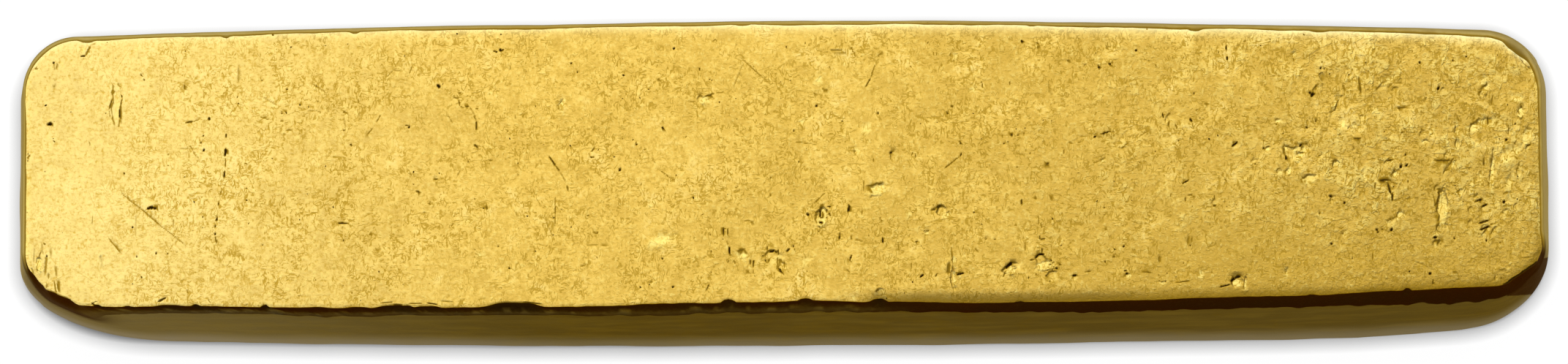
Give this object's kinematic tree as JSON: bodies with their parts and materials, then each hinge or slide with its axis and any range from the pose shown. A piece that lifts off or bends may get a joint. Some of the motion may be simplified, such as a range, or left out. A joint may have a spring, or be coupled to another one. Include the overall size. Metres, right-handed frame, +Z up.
{
  "type": "cast gold ingot",
  "caption": "Cast gold ingot, a long drafted bar with bowed sides and rounded corners, stored lying on its wide poured side as bullion or raw stock.",
  "frame": {"origin": "centre of the underside, on the surface that the bar lies on", "axes": "+X along the bar, +Y across it towards the long side without the knocked corner, +Z up through its thickness"},
  "size_m": [0.1364, 0.0292, 0.0145],
  "materials": {
    "gold": "satin, worn and pitted on the upper face, duller and browner on the walls"
  },
  "bodies": {
    "root": {"ingot": "gold"}
  },
  "joints": []
}
